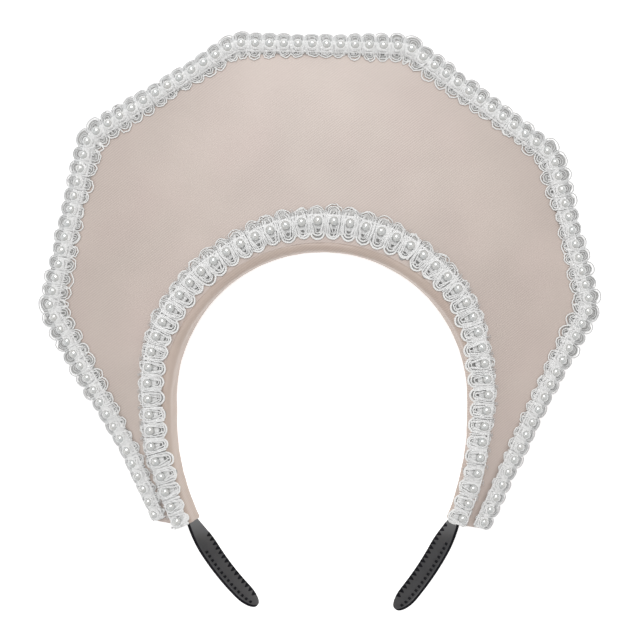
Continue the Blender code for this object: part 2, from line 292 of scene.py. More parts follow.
def arch_place(distance):
    """Place on the arch at a signed distance from its top, negative to the left."""
    side = 1.0 if distance >= 0 else -1.0
    leg_radius = RIGHT_LEG_RADIUS if side > 0 else LEFT_LEG_RADIUS
    run = abs(distance)
    quarter = ARCH_RADIUS * math.pi / 2
    x, y = ARCH_CENTRE
    if run <= quarter:
        angle = run / ARCH_RADIUS
        return (x + side * ARCH_RADIUS * math.sin(angle), y + ARCH_RADIUS * math.cos(angle))
    if run <= quarter + LEG_STRAIGHT:
        return (x + side * ARCH_RADIUS, y - (run - quarter))
    angle = (run - quarter - LEG_STRAIGHT) / leg_radius
    inward = leg_radius * (1 - math.cos(angle))
    return (x + side * (ARCH_RADIUS - inward), y - LEG_STRAIGHT - leg_radius * math.sin(angle))


ARCH = Line([arch_place(distance) for distance in np.linspace(-HALF_BAND, HALF_BAND, 843)])
OUTER = rounded_line(OUTER_CORNERS, 10)
EDGE = Line(OUTER.offset(OUTER.lengths, PEARL_TO_EDGE))
INNER_SHARES = np.linspace(0.0, 1.0, 401)
INNER = Line(
    ARCH.offset(BARE_END + 2 * HALF_COVER * INNER_SHARES, eased(INNER_REACH, INNER_SHARES)))


def resting_shift():
    """Shift, in millimetres, that puts the leaned pattern where the panel's solid lies."""
    distance = np.linspace(BARE_END, BARE_END + 2 * HALF_COVER, 38)
    outline = np.concatenate([EDGE.points, ARCH.offset(distance, COVER_THICKNESS + GAP)])
    points = leaned(np.concatenate([on_cone(outline, 0), on_cone(outline, -PANEL_THICKNESS)]))
    low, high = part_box("halo_panel")
    shift = (np.array(low) + np.array(high)) / MM / 2 - (points.min(0) + points.max(0)) / 2
    shift[2] = low[2] / MM - points[:, 2].min()
    return shift


RESTING_SHIFT = resting_shift()


def lie_down(points):
    """Points of the bent pattern, laid on the floor, in metres."""
    return (leaned(points) + RESTING_SHIFT) * MM


def laid(place, lift):
    """Real points for places in the pattern and lifts above the satin."""
    return lie_down(on_cone(place, lift))


class Skin:
    """Faces gathered for one mesh, each corner with a length along and a share around."""

    def __init__(self):
        self.points = []
        self.faces = []
        self.maps = []
        self.count = 0

    def grids(self, points, along, around=None, closed=False):
        """Add grids of quads: points is grids by rows by columns by 3.

        along is grids by rows, and around has one value for each column edge, or shares the
        round out evenly. A single grid can leave the first axis out.
        """
        points = points.reshape(-1, *points.shape[-3:])
        grids, rows, columns = points.shape[:3]
        along = along.reshape(grids, rows)
        counts = (grids, rows - 1, columns if closed else columns - 1)
        if around is None:
            around = np.linspace(0, 1, counts[2] + 1)
        steps = np.meshgrid(*(np.arange(count) for count in counts), indexing="ij")
        grid, row, column = (step.ravel() for step in steps)
        beside = (column + 1) % columns
        near = self.count + (grid * rows + row) * columns
        far = near + columns
        self.faces.append(np.stack([near + column, near + beside, far + beside, far + column], 1))
        lengths = along[grid, row], along[grid, row + 1]
        shares = around[column], around[column + 1]
        corners = ((0, 0), (0, 1), (1, 1), (1, 0))
        self.maps.append(np.stack([np.stack((lengths[i], shares[j]), 1) for i, j in corners], 1))
        self.points.append(points.reshape(-1, 3))
        self.count += grids * rows * columns

    def tubes(self, paths, up, radius, sides):
        """Add threads along paths: paths and up are threads by points by 3."""
        ahead = np.gradient(paths, axis=1)
        ahead /= np.linalg.norm(ahead, axis=-1, keepdims=True)
        side = np.cross(ahead, up)
        side /= np.linalg.norm(side, axis=-1, keepdims=True)
        top = np.cross(side, ahead)
        angles = 2 * np.pi * np.arange(sides) / sides
        radius = np.broadcast_to(radius, paths.shape[:2])[..., None, None] * MM
        across, rise = np.cos(angles)[:, None], np.sin(angles)[:, None]
        ring = across * side[..., None, :] + rise * top[..., None, :]
        steps = np.linalg.norm(np.diff(paths, axis=1), axis=-1) / MM
        along = np.concatenate([np.zeros((len(paths), 1)), np.cumsum(steps, axis=1)], 1)
        self.grids(paths[..., None, :] + ring * radius, along, closed=True)

    def piece(self, name, material, slot, *nodes):
        """Make the mesh object, ride it on the root, and let it stand for its solids."""
        mesh = bpy.data.meshes.new(name)
        points = np.concatenate(self.points)
        faces = np.concatenate(self.faces)
        mesh.vertices.add(len(points))
        mesh.vertices.foreach_set("co", points.astype(np.float32).ravel())
        mesh.loops.add(faces.size)
        mesh.loops.foreach_set("vertex_index", faces.astype(np.int32).ravel())
        mesh.polygons.add(len(faces))
        mesh.polygons.foreach_set("loop_start", np.arange(0, faces.size, 4, dtype=np.int32))
        mesh.update(calc_edges=True)
        layer = mesh.uv_layers.new(name="thread")
        layer.data.foreach_set("uv", np.concatenate(self.maps).astype(np.float32).ravel())
        mesh.validate()
        mesh.shade_smooth()
        made = bpy.data.objects.new(name, mesh)
        bpy.context.scene.collection.objects.link(made)
        mesh.materials.append(material)
        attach(made, "root")
        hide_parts(*nodes)


class Braid:
    """A pearl braid along one line. The folded one turns down over the panel's edge."""

    def __init__(self, line, pearls, lobe_table, folded, seed):
        self.line = line
        self.pitch = (line.length - 2 * END_MARGIN) / (pearls - 1)
        self.pearls = END_MARGIN + self.pitch * np.arange(pearls)
        self.gaps = END_MARGIN + self.pitch * (np.arange(pearls + 1) - 0.5)
        self.gaps[0] = FIRST_CROSSING
        self.gaps[-1] = line.length - LAST_CROSSING
        self.lobe_table = lobe_table
        self.folded = folded
        self.random = np.random.default_rng(seed)

    def place(self, distance, offset, lift):
        """Real points for distances along the braid, offsets across it and lifts."""
        distance, offset, lift = np.broadcast_arrays(distance, offset, lift)
        if not self.folded:
            return laid(self.line.offset(distance, offset), lift)
        fold = np.radians(FOLD_SHARE * eased(self.lobe_table, distance / self.line.length, 2))
        past = offset - (FOLD_START - FOLD_ROUNDING * np.tan(fold / 2))
        angle = np.clip(past / FOLD_ROUNDING, 0.0, fold)
        straight = np.maximum(past - FOLD_ROUNDING * fold, 0.0)
        across = np.minimum(past, 0.0) + FOLD_ROUNDING * np.sin(angle) + straight * np.cos(angle)
        drop = FOLD_ROUNDING * (1 - np.cos(angle)) + straight * np.sin(angle)
        reach = offset - past + across + lift * np.sin(angle)
        return laid(self.line.offset(distance, reach), lift * np.cos(angle) - drop)

    def up(self, distance, offset, lift):
        """Directions away from the braid's own surface at the same places."""
        raised = self.place(distance, offset, lift + 0.5) - self.place(distance, offset, lift)
        return raised / np.linalg.norm(raised, axis=-1, keepdims=True)

    def reach(self, side, distance):
        """Reach of the lobes on one side: 1 away from the head, -1 towards it."""
        share = distance / self.line.length
        if side > 0 and self.folded:
            return np.full(len(distance), FOLD_START + FREE_CREST)
        return eased(self.lobe_table, share, 2 if side > 0 else 1)

    def threads(self, skin, distance, offset, lift, radius, sides):
        """Add threads through points given by distance, offset and lift."""
        distance = np.atleast_2d(distance)
        up = self.up(distance, offset, lift)
        skin.tubes(self.place(distance, offset, lift), up, radius, sides)

    def lobes(self, skin, side, root, root_lift, rough, loops, steps, sides):
        """Add the looped threads of one side's lobes, more uneven when rough is above 1."""
        shift = np.linspace(-1.0, 1.0, steps)
        run = np.clip((np.abs(shift) - LOOP_ROUND) / (1 - LOOP_ROUND), 0.0, 1.0)
        ease = run * run * (3 - 2 * run)
        turn = np.minimum(np.abs(shift) / LOOP_ROUND, 1.0) * LOOP_TURN
        count = len(self.pearls)
        reach = self.reach(side, self.pearls)[:, None]
        reach = reach * self.random.normal(0.98, 0.045, (count, 1)).clip(0.86, 1.05)
        lean = self.random.normal(0.0, 0.4 * rough, (count, 1)).clip(-0.9, 0.9)
        slim = np.ones((count, 1))
        slim[0] = 0.6
        for width, share, radius, lift in loops:
            wide = np.minimum(width * self.pitch, reach * 0.5)
            wide = wide * self.random.normal(1.0, 0.05 * rough, (count, 1))
            stretch = self.random.normal(1.0, 0.03 * rough, (count, 1)).clip(0.86, 1.03)
            tip = (reach - root) * share * stretch + root - radius
            across = tip - wide * (1 - np.cos(turn))
            beside = slim * wide * np.sin(turn) * np.sign(shift)
            root_beside = slim * np.sign(shift) * self.pitch * 0.47
            beside = beside + (root_beside - beside) * ease + lean * across / reach
            across = across + (root - across) * run
            wobble = self.random.normal(0.0, 0.07 * rough, (2, count, steps))
            height = lift + self.random.normal(0.0, 0.06, (count, 1)) + (root_lift - lift) * ease
            along = self.pearls[:, None] + beside + wobble[0]
            self.threads(skin, along, side * (across + wobble[1]), height, radius, sides)


def shaded(colour, factor):
    """The colour made darker or lighter."""
    return tuple(min(1.0, channel * factor) for channel in colour)


class Paint:
    """A procedural material while its nodes are made."""

    def __init__(self, name):
        self.material = bpy.data.materials.new(name)
        self.material.use_nodes = True
        self.nodes = self.material.node_tree.nodes
        self.place = self.node("ShaderNodeTexCoord").outputs["Object"]

    def put(self, value, socket):
        """Give an input its number, its colour or vector, or its link."""
        if isinstance(value, (int, float)):
            socket.default_value = value
        elif isinstance(value, tuple):
            socket.default_value = (*value, 1.0)[:len(socket.default_value)]
        elif value is not None:
            self.material.node_tree.links.new(value, socket)

    def node(self, kind, inputs=None, **settings):
        """A node with its settings, and its inputs by name or number."""
        made = self.nodes.new(kind)
        for key, value in settings.items():
            setattr(made, key, value)
        for key, value in (inputs or {}).items():
            self.put(value, made.inputs[key])
        return made

    def maths(self, operation, *values):
        """Result of a Math node on sockets or numbers."""
        return self.node("ShaderNodeMath", dict(enumerate(values)), operation=operation).outputs[0]

    def ramp(self, factor, *stops):
        """Colours or greys between stops of position and colour."""
        made = self.node("ShaderNodeValToRGB", {0: factor})
        elements = made.color_ramp.elements
        while len(elements) < len(stops):
            elements.new(0.5)
        for element, (position, colour) in zip(elements, stops):
            element.position = position
            element.color = (*colour, 1.0)
        return made.outputs[0]

    def noise(self, scale, detail=3.0, roughness=0.55):
        """A noise pattern on the object's own coordinates, in metres."""
        inputs = {"Vector": self.place, "Scale": scale, "Detail": detail, "Roughness": roughness}
        return self.node("ShaderNodeTexNoise", inputs).outputs["Fac"]

    def bump(self, height, distance, strength, after=None):
        """A bump from a height socket, added after an earlier one."""
        inputs = {"Strength": strength, "Distance": distance, "Height": height, "Normal": after}
        return self.node("ShaderNodeBump", inputs).outputs[0]

    def mixed(self, factor, first, second, blend="MIX"):
        """Mix of two colours, each a socket or a colour."""
        inputs = {0: factor, 6: first, 7: second}
        return self.node("ShaderNodeMix", inputs, data_type="RGBA", blend_type=blend).outputs[2]

    def finish(self, **inputs):
        """The material, with the shader's own inputs set or linked."""
        for key, value in inputs.items():
            self.put(value, self.nodes["Principled BSDF"].inputs[key.replace("_", " ")])
        return self.material


def satin_material(settings, name, colour, crease):
    """Blush satin with fine diagonal ribs and painted shade between them, soft colour clouds and
    small creases.
    """
    paint = Paint(name)
    angle = settings.rib_angle
    rising = (-math.sin(angle), math.cos(angle), 0.0)
    across = paint.node(
        "ShaderNodeVectorMath", {0: paint.place, 1: rising}, operation="DOT_PRODUCT")
    wander = paint.maths("MULTIPLY", paint.noise(90.0, 2.0), 5.0)
    ribs = paint.maths("MULTIPLY", across.outputs["Value"], 2 * math.pi / settings.rib_pitch)
    ribs = paint.maths("SINE", paint.maths("ADD", ribs, wander))
    clouds = paint.noise(14.0, 4.0)
    warm = paint.ramp(clouds, (0.32, shaded(colour, 0.955)), (0.68, shaded(colour, 1.03)))
    pink = (colour[0] * 1.01, colour[1] * 0.965, colour[2] * 0.985)
    blotch = paint.maths("SUBTRACT", paint.noise(33.0, 2.0), 0.38)
    cloth = paint.mixed(paint.maths("MULTIPLY", blotch, 1.3), warm, pink)
    # Patches where the painted rib shade shows
    patch = paint.ramp(paint.noise(20.0, 2.0), (0.36, (0.0, 0.0, 0.0)), (0.60, (1.0, 1.0, 1.0)))
    shade = paint.maths("MULTIPLY", paint.maths("ADD", ribs, -1.0), RIB_PAINTED_SHADE)
    shade = paint.maths("ADD", paint.maths("MULTIPLY", shade, patch), 1.0)
    weave = paint.bump(ribs, 0.00005, 0.35)
    return paint.finish(
        Base_Color=paint.mixed(1.0, cloth, shade, "MULTIPLY"),
        Normal=paint.bump(paint.noise(crease, 5.0, 0.6), 0.0005, 0.35, weave),
        Roughness=0.46, Specular_IOR_Level=0.38, Sheen_Weight=0.12, Sheen_Roughness=0.4)


def thread_material(name, colour, plies=2, pitch=0.9):
    """White twisted thread: painted shade in the grooves between its plies, worn fuzz and a soft
    sheen.
    """
    paint = Paint(name)
    corner = paint.node("ShaderNodeUVMap", uv_map="thread").outputs[0]
    parts = paint.node("ShaderNodeSeparateXYZ", {0: corner}).outputs
    along = paint.maths("MULTIPLY", parts[0], 2 * math.pi / pitch)
    around = paint.maths("MULTIPLY", parts[1], 2 * math.pi * plies)
    twist = paint.maths("SINE", paint.maths("ADD", along, around))
    dirt = paint.noise(260.0, 2.0)
    body = paint.ramp(dirt, (0.35, shaded(colour, 0.93)), (0.7, shaded(colour, 1.0)))
    # Painted shade: the colour darkens a little in the grooves between the plies
    groove_shade = paint.maths("ADD", paint.maths("MULTIPLY", twist, 0.06), 0.94)
    plied = paint.bump(twist, 0.0001, 0.6)
    return paint.finish(
        Base_Color=paint.mixed(1.0, body, groove_shade, "MULTIPLY"),
        Normal=paint.bump(paint.noise(3500.0, 3.0, 0.7), 0.00012, 0.5, plied),
        Roughness=0.55, Sheen_Weight=0.25,
        Subsurface_Weight=0.12, Subsurface_Radius=(0.0006, 0.0006, 0.0006))


def pearl_material(colour):
    """Pearl: a soft grey body with painted shade that darkens it to its rim, under a clear gloss."""
    paint = Paint("grey_pearl")
    facing = paint.node("ShaderNodeLayerWeight", {"Blend": 0.5}).outputs["Facing"]
    # Painted shade: the body colour darkens where the surface turns away from the view
    body = paint.ramp(facing, *((stop, shaded(colour, shade)) for stop, shade in PEARL_RIM_PAINTED_SHADE))
    orient = paint.noise(420.0, 2.0)
    lustre = paint.ramp(orient, (0.35, (0.96, 0.99, 1.0)), (0.65, (1.0, 0.985, 0.96)))
    return paint.finish(
        Base_Color=paint.mixed(1.0, body, lustre, "MULTIPLY"),
        Normal=paint.bump(paint.noise(900.0), 0.00006, 0.25),
        Roughness=0.3, Specular_IOR_Level=1.0, Coat_Weight=1.0, Coat_IOR=2.2, Coat_Roughness=0.1)


def plastic_material(name, colour, gloss):
    """Black moulded plastic with a fine satin grain and faint scuffs."""
    paint = Paint(name)
    scuff = paint.noise(240.0, 5.0, 0.65)
    worn = tuple(channel * 1.5 + 0.003 for channel in colour)
    return paint.finish(
        Base_Color=paint.ramp(scuff, (0.35, colour), (0.75, worn)),
        Normal=paint.bump(paint.noise(2600.0, 2.0), 0.00004, 0.3),
        Roughness=paint.maths("ADD", paint.maths("MULTIPLY", scuff, 0.16), 0.26),
        Specular_IOR_Level=gloss)


def floor_material(white, glow):
    """Plain pale paper floor with a barely visible tooth."""
    paint = Paint("pale_floor")
    return paint.finish(
        Base_Color=paint.ramp(paint.noise(300.0), (0.3, shaded(white, 0.985)), (0.7, white)),
        Roughness=0.8, Specular_IOR_Level=0.2, Emission_Color=white, Emission_Strength=glow)


def number(name, description, default, kind=FloatProperty, **limits):
    """A number that a user may change."""
    return kind(name=name, description=description, default=default, **limits)


def mm_property(name, description, default):
    """A length in millimetres that a user may change."""
    return number(name, f"{description}", default, min=0.0)


def power_property(name, description, default):
    """A light's power that a user may change."""
    return number(name, description, default, unit="POWER")


def colour_property(name, description, default):
    """A colour that a user may change."""
    return number(
        name, description, default, FloatVectorProperty, subtype="COLOR", min=0.0, max=1.0)


class SatinSettings(bpy.types.PropertyGroup):
    """Sizes and colours of the satin."""

    colour: colour_property("Satin colour", "Colour of the blush satin", (0.575, 0.492, 0.445))
    # Darker and warmer than the panel's satin: painted shade on the band's rounded front, which
    # turns away from the light
    wrapped_shade_colour: colour_property(
        "Wrapped colour", "Colour of the satin on the band", (0.53, 0.435, 0.375))
    rib_pitch: number(
        "Rib pitch", "Distance between two ribs of the twill", 0.00095,
        min=0.0002, unit="LENGTH", precision=5)
    rib_angle: number(
        "Rib angle", "Direction of the ribs, rising to the right",
        math.radians(37), subtype="ANGLE")
    edge_rounding: mm_property("Edge rounding", "Radius of the panel's edges", 1.1)
    seam_rounding: mm_property("Seam rounding", "Radius where the panel meets the band", 0.1)
    unevenness: mm_property("Unevenness", "Height of the soft waves in the satin", 0.16)
    gathers: mm_property("Gathers", "Height of the gathers on the wrapped band", 0.16)


class BraidSettings(bpy.types.PropertyGroup):
    """Sizes and colours of the looped braid."""

    thread_colour: colour_property(
        "Thread colour", "Colour of the white thread", (0.95, 0.95, 0.94))
    # Greyer than the white thread: painted shade on the loops that hang down past the panel's edge
    hanging_shade_colour: colour_property(
        "Hanging thread colour", "Colour of the loops past the panel's edge", (0.8, 0.805, 0.805))
    core_colour: colour_property("Core colour", "Colour of the woven core", (0.98, 0.98, 0.975))
    # The net's grey is painted shade: it darkens the gaps between the white loops
    net_shade_colour: colour_property(
        "Net colour", "Colour of the shaded net under the loops", (0.46, 0.455, 0.445))
    loop_steps: number("Loop steps", "Points along a loop", 19, IntProperty, min=9)
    thread_sides: number("Thread sides", "Sides of a thread", 6, IntProperty, min=3)
    fibres: number("Fibres", "Loose fibres in each gap", 16, IntProperty, min=0)


class PearlSettings(bpy.types.PropertyGroup):
    """Size and colour of the pearls."""

    radius: mm_property("Radius", "Radius of a pearl", 2.05)
    colour: colour_property("Pearl colour", "Colour of a pearl's body", (0.56, 0.565, 0.555))


class BandSettings(bpy.types.PropertyGroup):
    """Sizes and colour of the plastic hair band."""

    colour: colour_property("Plastic colour", "Colour of the plastic", (0.006, 0.006, 0.008))
    edge_rounding: mm_property("Edge rounding", "Radius of the band's edges", 0.45)
    tooth_pitch: mm_property("Tooth pitch", "Distance between two saw teeth", 2.4)
    peg_pitch: mm_property("Peg pitch", "Distance between two pegs", 2.25)


class StageSettings(bpy.types.PropertyGroup):
    """Floor, lights and camera."""

    floor_colour: colour_property("Floor colour", "Colour of the floor", (0.98, 0.98, 0.98))
    floor_glow: number("Floor glow", "Light of the floor, as of a lit table", 0.5, min=0.0)
    key_power: power_property("Key power", "Power of the main soft light", 3.2)
    shine_power: power_property(
        "Shine power", "Power of the soft light that only shows in glossy surfaces", 9.0)
    fill_power: power_property("Fill power", "Power of the side lights", 0.8)
    sky: number("Sky", "Strength of the surrounding light", 0.6, min=0.0)
    camera_distance: number("Camera distance", "From the lens to the satin", 0.56, unit="LENGTH")
    lens: number("Lens", "Focal length", 70.9, unit="CAMERA")


class HEADPIECE_OT_panel(bpy.types.Operator):
    """Make the satin-covered halo panel, front and back, with rounded edges"""

    bl_idname = "headpiece.panel"
    bl_label = "Satin panel"

    def execute(self, context):
        settings = context.scene.headpiece_satin
        rounding = settings.edge_rounding
        half = PANEL_THICKNESS / 2
        ends = rounding * (1 - np.cos(np.linspace(0.0, np.pi / 2, 5)))
        middle = np.linspace(rounding, EDGE.length - rounding, 430)[1:-1]
        distance = np.concatenate([ends, middle, EDGE.length - ends[::-1]])
        share = distance / EDGE.length
        inside = ARCH.offset(BARE_END + 2 * HALF_COVER * share, COVER_THICKNESS - 0.05)
        outside = EDGE.at(distance)
        from_end = np.minimum(distance, EDGE.length - distance)
        flat = np.clip(from_end / rounding, 0.0, 1.0)
        thin = 1 - (rounding / half) * (1 - np.sqrt(1 - (1 - flat) ** 2))
        table = self.section(half, settings.seam_rounding, rounding)
        span = outside - inside
        width = np.linalg.norm(span, axis=1, keepdims=True)
        step = span / width
        inset = np.where(table[:, 0] == 0, 1.0, -1.0) * table[:, 1]
        plain = (table[:, 0] > 0) & (table[:, 0] < 1)
        reach = np.where(
            plain, rounding + (width - 2 * rounding) * table[:, 0], width * table[:, 0] + inset)
        place = inside[:, None, :] + step[:, None, :] * reach[..., None]
        lift = -half + table[None, :, 2] * thin[:, None]
        x, y = place[..., 0], place[..., 1]
        wave = np.sin(x / 17 + 1.3 * np.sin(y / 23)) * np.sin(y / 14 + 0.8 * np.sin(x / 31))
        near_band = np.exp(-reach / 5.0)
        pucker = near_band * np.sin(distance / 2.1 + 1.4 * np.sin(distance / 9))[:, None]
        near_edge = np.exp(-(width - reach) / 7.0)
        pull = near_edge * np.sin(distance / 3.3 + np.sin(distance / 13))[:, None]
        waves = settings.unevenness * (0.6 * wave + 0.5 * pucker + 0.4 * pull - 0.5)
        front = np.clip(lift / 0.3 + 1.0, 0.0, 1.0)
        lift = lift + waves * front
        skin = Skin()
        skin.grids(laid(place, lift), distance, closed=True)
        satin = satin_material(settings, "blush_satin", settings.colour, 60.0)
        skin.piece("satin_panel", satin, "satin", "halo_panel")
        return {"FINISHED"}

    def section(self, half, seam_rounding, rounding):
        """Rows round the panel: share of the width from the arch, inset there, height."""
        arc = np.linspace(0.0, np.pi / 2, 6)
        inset, drop = 1 - np.sin(arc), 1 - np.cos(arc)
        seam, rim = (
            np.stack([np.full(len(arc), side), radius * inset, half - drop * radius], 1)
            for side, radius in ((0.0, seam_rounding), (1.0, rounding)))
        front = [(share, 0.0, half) for share in np.linspace(0, 1, 40)[1:-1]]
        back = [(share, 0.0, -half) for share in np.linspace(1, 0, 14)[1:-1]]
        below = (1.0, 1.0, -1.0)
        return np.concatenate([seam[::-1], front, rim, rim[::-1] * below, back, seam * below])


class HEADPIECE_OT_sleeve(bpy.types.Operator):
    """Make the satin sleeve that wraps the hair band along the arch"""

    bl_idname = "headpiece.sleeve"
    bl_label = "Wrapped band"

    def execute(self, context):
        settings = context.scene.headpiece_satin
        distance = BARE_END + np.linspace(0.0, 2 * HALF_COVER, 620)
        from_end = np.minimum(distance - BARE_END, BARE_END + 2 * HALF_COVER - distance)
        front_round, back_round, seam_round = 3.0, 1.2, settings.seam_rounding
        low_back = back_round - COVER_WIDTH
        corners = []
        for reach, depth, radius, start in (
            (front_round, -front_round, front_round, 180),
            (COVER_THICKNESS - seam_round, -seam_round, seam_round, 90),
            (COVER_THICKNESS - back_round, low_back, back_round, 0),
            (back_round, low_back, back_round, -90),
        ):
            turns = np.radians(np.linspace(start, start - 90, 9))
            quarter = [reach + radius * np.cos(turns), depth + radius * np.sin(turns)]
            corners.append(np.stack(quarter, 1))
        front_end = COVER_THICKNESS - seam_round
        front = [(reach, 0.0) for reach in np.linspace(front_round, front_end, 6)]
        flank = [(COVER_THICKNESS, depth) for depth in np.linspace(-seam_round, low_back, 8)]
        inner = [(0.0, depth) for depth in np.linspace(low_back, -front_round, 12)]
        ring = np.concatenate([
            corners[0], front[1:-1], corners[1], flank[1:-1], corners[2], corners[3], inner[1:-1]])
        middle = np.array((COVER_THICKNESS / 2, -COVER_WIDTH / 2))
        outward = ring - middle
        outward /= np.linalg.norm(outward, axis=1, keepdims=True)
        turns = np.linspace(0, 2 * np.pi, len(ring), endpoint=False)
        slant = distance[:, None] / 1.9 + 1.1 * np.sin(turns) + 1.7 * np.sin(distance / 11)[:, None]
        strength = 0.45 + 0.55 * np.sin(distance / 37 + 2.2) ** 2
        crimp = np.sin(slant) + 0.6 * np.sin(slant * 1.73 + 2 * np.cos(turns))
        folds = np.sin(3 * turns + distance[:, None] / 8 + 1.6 * np.sin(distance / 19)[:, None])
        proud = settings.gathers * (crimp * strength[:, None] * 0.5 + 0.9 * folds - 0.7)
        tuck = np.clip(from_end / 0.8, 0.0, 1.0)
        proud = proud - 0.5 * (1 - np.sqrt(1 - (1 - tuck) ** 2))[:, None]
        section = ring + outward * proud[..., None]
        points = self.carried(distance, section)
        inner_points = self.carried(distance, middle + (ring - middle) * np.array((0.42, 0.83)))
        skin = Skin()
        skin.grids(points, distance, closed=True)
        ends = np.array([[inner_points[0], points[0]], [points[-1], inner_points[-1]]])
        skin.grids(ends, np.array([[0.0, 1.0]] * 2), closed=True)
        lined = np.concatenate([inner_points[::8], inner_points[-1:]])[::-1]
        skin.grids(lined, np.arange(len(lined), dtype=float), closed=True)
        # A darker copy of the satin: painted shade on the wrapped band
        wrapped_shaded = satin_material(settings, "wrapped_satin_shaded", settings.wrapped_shade_colour, 240.0)
        skin.piece("wrapped_band", wrapped_shaded, "satin", "band_cover")
        return {"FINISHED"}

    def carried(self, distance, section):
        """Real points of a section's rows of reach and lift, carried along the arch."""
        return laid(ARCH.offset(distance[:, None], section[..., 0]), section[..., 1])


def band_width(from_tip):
    """Width of the hair band: tapered outside the sleeve and round at the tip."""
    width = TIP_WIDTH + (BAND_WIDTH - TIP_WIDTH) * np.minimum(1.0, from_tip / BARE_END)
    share = np.clip(1 - from_tip / TIP_ROUND, 0.0, 1.0)
    return width * np.sqrt(np.maximum(1 - share ** 2, 0.0))


def band_place(distance, reach, depth):
    """Real points of the hair band, from its front edge back, with its lean at the tips."""
    from_tip = np.clip(np.minimum(distance, 2 * HALF_BAND - distance), 0.0, None)
    lift = (band_width(from_tip) - COVER_WIDTH) / 2 - depth
    run = np.clip((1 - from_tip / BARE_END) / LEAN_RUN, 0.0, 1.0)
    lean = np.tan(np.radians(BARE_LEAN * np.sin(np.pi / 2 * run)))
    return laid(ARCH.offset(distance, reach + (lift + LEAN_DEPTH) * lean), lift)


class HEADPIECE_OT_hair_band(bpy.types.Operator):
    """Make the plastic hair band with its rounded tips and two rows of teeth at each end"""

    bl_idname = "headpiece.hair_band"
    bl_label = "Hair band"

    def execute(self, context):
        settings = context.scene.headpiece_band
        rounding = settings.edge_rounding
        low = COVER_WALL + GAP
        tip = TIP_ROUND * (1 - np.cos(np.linspace(0.02, np.pi / 2, 26)))
        bare = np.linspace(TIP_ROUND, BARE_END + 6, 84)
        end = np.concatenate([tip, bare[1:]])
        hidden = np.linspace(BARE_END + 6, 2 * HALF_BAND - BARE_END - 6, 120)[1:-1]
        distance = np.concatenate([end, hidden, 2 * HALF_BAND - end[::-1]])
        width = band_width(np.minimum(distance, 2 * HALF_BAND - distance))
        corner = np.minimum(rounding, width * 0.45)
        ring = np.array([
            (across, along, math.cos(turn), math.sin(turn))
            for across, along, start in ((1, 0, 90), (1, 1, 0), (0, 1, -90), (0, 0, 180))
            for turn in np.radians(np.linspace(start, start - 90, 6))])
        thick = BAND_THICKNESS - 2 * rounding
        reach = low + rounding + thick * ring[:, 0] + rounding * ring[:, 2]
        corner = corner[:, None]
        depth = corner + (width[:, None] - 2 * corner) * ring[:, 1] - corner * ring[:, 3]
        points = band_place(distance[:, None], reach, depth)
        faces, edges = Skin(), Skin()
        sides = len(ring)
        runs = ((faces, 5, 12), (edges, 12, 17), (faces, 17, 20), (edges, 20, 29))
        for skin, first, last in runs:
            columns = np.arange(first, last + 1)
            skin.grids(points[:, columns % sides], distance, columns / sides)
        for mirrored, saw_start, saws, peg_start, pegs in COMB:
            for saw, start, pitch, count in (
                (True, saw_start, settings.tooth_pitch, saws),
                (False, peg_start, settings.peg_pitch, pegs),
            ):
                self.teeth(edges, BARE_END - start - pitch * np.arange(count), mirrored, saw)
        for skin, name, plastic, gloss in (
            (faces, "plastic_band", "black_plastic", 0.9),
            (edges, "plastic_comb", "dark_plastic", 0.05),
        ):
            material = plastic_material(plastic, tuple(settings.colour), gloss)
            skin.piece(name, material, "black_plastic", "hair_band")
        return {"FINISHED"}

    def teeth(self, skin, places, mirrored, saw):
        """Add saw teeth by the back edge, or pegs by the front edge, at distances from a tip.

        A saw tooth is broad at the edge and comes to a point inside it.
        """
        foot = COVER_WALL + GAP + 0.05
        tall = SAW_HEIGHT if saw else PEG_HEIGHT
        for place in places:
            rows = []
            for size, rise in TOOTH_PROFILE:
                for across, deep in np.array(SQUARE, float) * size:
                    if saw:
                        along = place + SAW_HALF_WIDTH * across * (0.58 + 0.42 * deep / size)
                        depth = band_width(along) - SAW_INSET + SAW_HALF_DEPTH * deep
                    else:
                        along = place + PEG_HALF_WIDTH * across
                        depth = PEG_PLACE * band_width(along) + PEG_HALF_WIDTH * deep
                    rows.append((along, foot - tall * rise, depth))
            points = np.array(rows).reshape(len(TOOTH_PROFILE), len(SQUARE), 3)
            distance = 2 * HALF_BAND - points[..., 0] if mirrored else points[..., 0]
            made = band_place(distance, points[..., 1], points[..., 2])
            if mirrored:
                made = made[:, ::-1]
            skin.grids(made, np.arange(5.0), closed=True)


def both_braids():
    """The braid on the panel's outer edge, and the braid round the arch."""
    return (
        Braid(OUTER, OUTER_PEARLS, OUTER_LOBES, folded=True, seed=11),
        Braid(INNER, INNER_PEARLS, INNER_LOBES, folded=False, seed=23))


def make_pieces(rows):
    """Make pieces of braid: name, solid, material, then steps of a function, a braid and values."""
    for name, solid, material, steps in rows:
        skin = Skin()
        for add, braid, values in steps:
            add(braid, skin, **values)
        skin.piece(name, material, "braid", solid)


